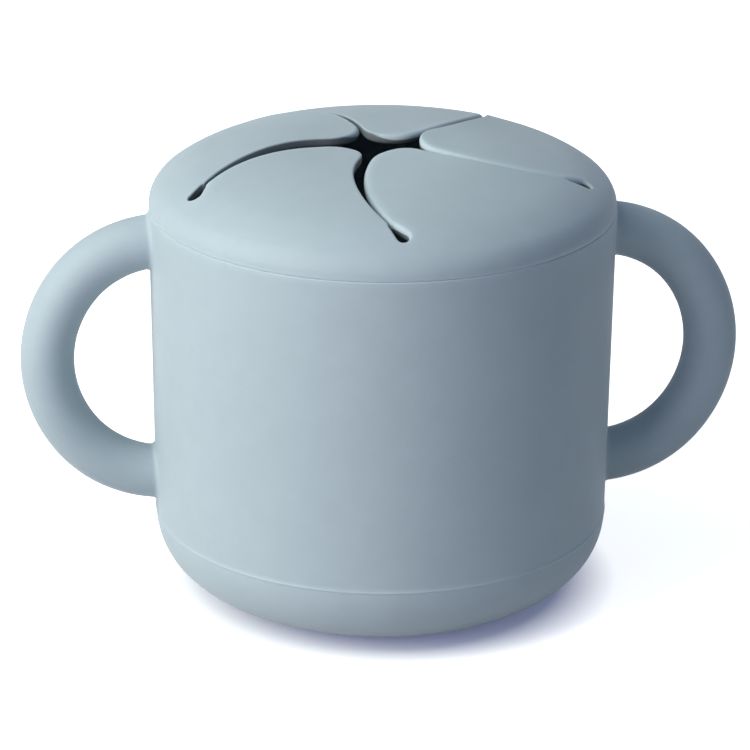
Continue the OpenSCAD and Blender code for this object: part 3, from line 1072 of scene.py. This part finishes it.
# -------- camera, light, floor
# Angles in degrees, 0 at the front. The camera's distance, aim and lens are in millimetres.
CAMERA_AZIMUTH = -6.543
CAMERA_ELEVATION = 21.54
CAMERA_DISTANCE = 645.7
CAMERA_AIM = Vector((-1.10, 0.13, 37.48))
CAMERA_ROLL = 0.44
CAMERA_LENS = 178.14
CAMERA_SENSOR = 36
# What the camera sees begins and ends at these distances, in metres.
CAMERA_CLIP = (0.01, 20)

# Lamps and the floor are in metres. All lamps are square, as far from the cup and as large.
LAMP_AIM = Vector((0, 0, 0.04))
LAMP_DISTANCE = 1.0
LAMP_SIZE = 0.6
# Name, azimuth, elevation, power, colour.
LAMPS = [
    ("key", -70, 30, 7.4, (1, 1, 0.8)),
    ("overhead", -80, 62, 2.2, (0.92, 0.95, 1)),
    ("low_front", -50, 7, 3.6, (0.8, 0.7, 1)),
]
ROOM_LIGHT = (0.165, 0.207, 0.29)
# The floor as the cup meets it, and as the camera sees it: lit, with a glow that is faint and bluish near
# the cup's foot, a painted shadow that deepens the real one.
FLOOR_UNSEEN = (0.5, 0.5, 0.5)
FLOOR_LIT = (1.0, 1.0, 1.0)
GLOW_NEAR = 0.032
GLOW_FAR = 0.042
PAINTED_SHADOW_GLOW = (0.08, 0.09, 0.16)
GLOW_AROUND = (0.8, 0.8, 0.8)
FLOOR_REACH = 3.0


def way_back(azimuth, elevation):
    """Direction from the cup to something that looks at it from those angles."""
    a, e = math.radians(azimuth), math.radians(elevation)
    return Vector((math.sin(a) * math.cos(e), -math.cos(a) * math.cos(e), math.sin(e)))


def aimed(data, place, back):
    """A camera or a lamp at its place, looking the other way from back."""
    made = bpy.data.objects.new(data.name, data)
    bpy.context.scene.collection.objects.link(made)
    made.location = place
    made.rotation_mode = "QUATERNION"
    made.rotation_quaternion = (-back).to_track_quat("-Z", "Y")
    return made


def make_camera():
    """The camera, aimed at the cup from the front, a little from the left and above."""
    data = bpy.data.cameras.new("camera")
    data.sensor_width = CAMERA_SENSOR
    data.lens = CAMERA_LENS
    data.clip_start, data.clip_end = CAMERA_CLIP
    back = way_back(CAMERA_AZIMUTH, CAMERA_ELEVATION)
    camera = aimed(data, (CAMERA_AIM + back * CAMERA_DISTANCE) * MM, back)
    camera.rotation_quaternion @= Matrix.Rotation(math.radians(CAMERA_ROLL), 3, "Z").to_quaternion()
    bpy.context.scene.camera = camera


def make_lamp(name, azimuth, elevation, power, colour):
    """A square soft light aimed at the middle of the cup."""
    data = bpy.data.lights.new(name, "AREA")
    data.shape = "SQUARE"
    data.size = LAMP_SIZE
    data.energy = power
    data.color = colour
    back = way_back(azimuth, elevation)
    aimed(data, LAMP_AIM + back * LAMP_DISTANCE, back)


def seen_white(tree):
    """1 for what the camera sees itself, in a reflection or through glass."""
    path = node(tree, "ShaderNodeLightPath").outputs
    return calc(tree, "MAXIMUM", calc(tree, "MAXIMUM", path["Is Camera Ray"], path["Is Glossy Ray"]),
                path["Is Transmission Ray"])


def make_world():
    """Soft bluish light from all round, which the camera sees as plain white."""
    world = bpy.data.worlds.new("studio")
    bpy.context.scene.world = world
    world.use_nodes = True
    tree = world.node_tree
    light = tree.nodes["Background"]
    light.inputs["Color"].default_value = (*ROOM_LIGHT, 1)
    white = node(tree, "ShaderNodeBackground", {"Color": (1, 1, 1, 1)})
    mix = node(tree, "ShaderNodeMixShader", {0: seen_white(tree), 1: light.outputs[0], 2: white.outputs[0]})
    tree.links.new(mix.outputs[0], tree.nodes["World Output"].inputs["Surface"])


def make_floor():
    """White floor that keeps the cup's shadow, deepened by a painted bluish shadow round its foot, and throws
    half of the light back at it.
    """
    material = bpy.data.materials.new("floor")
    material.use_nodes = True
    tree = material.node_tree
    tree.nodes.remove(tree.nodes["Principled BSDF"])
    unseen = node(tree, "ShaderNodeBsdfDiffuse", {"Color": (*FLOOR_UNSEEN, 1)})
    lit = node(tree, "ShaderNodeBsdfDiffuse", {"Color": (*FLOOR_LIT, 1)})
    # Near the cup's foot the glow fades to a faint blue: painted shadow added to the real one.
    away = vector_calc(tree, "LENGTH", node(tree, "ShaderNodeTexCoord").outputs["Object"])
    share = node(tree, "ShaderNodeMapRange", {
        "Value": away, "From Min": GLOW_NEAR, "From Max": GLOW_FAR}).outputs[0]
    colour = node(tree, "ShaderNodeMix", {"Factor": share, "A": (*PAINTED_SHADOW_GLOW, 1), "B": (*GLOW_AROUND, 1)},
                  data_type="RGBA").outputs["Result"]
    glow = node(tree, "ShaderNodeEmission", {"Color": colour, "Strength": 1.0})
    seen = node(tree, "ShaderNodeAddShader", {0: lit.outputs[0], 1: glow.outputs[0]})
    mix = node(tree, "ShaderNodeMixShader", {0: seen_white(tree), 1: unseen.outputs[0], 2: seen.outputs[0]})
    tree.links.new(mix.outputs[0], tree.nodes["Material Output"].inputs["Surface"])
    mesh = bpy.data.meshes.new("floor")
    corners = [(x * FLOOR_REACH, y * FLOOR_REACH, 0) for x, y in ((-1, -1), (1, -1), (1, 1), (-1, 1))]
    mesh.from_pydata(corners, [], [(0, 1, 2, 3)])
    placed("floor", mesh, material)


make_camera()
for lamp in LAMPS:
    make_lamp(*lamp)
make_world()
make_floor()

bpy.context.scene.view_settings.view_transform = "Standard"
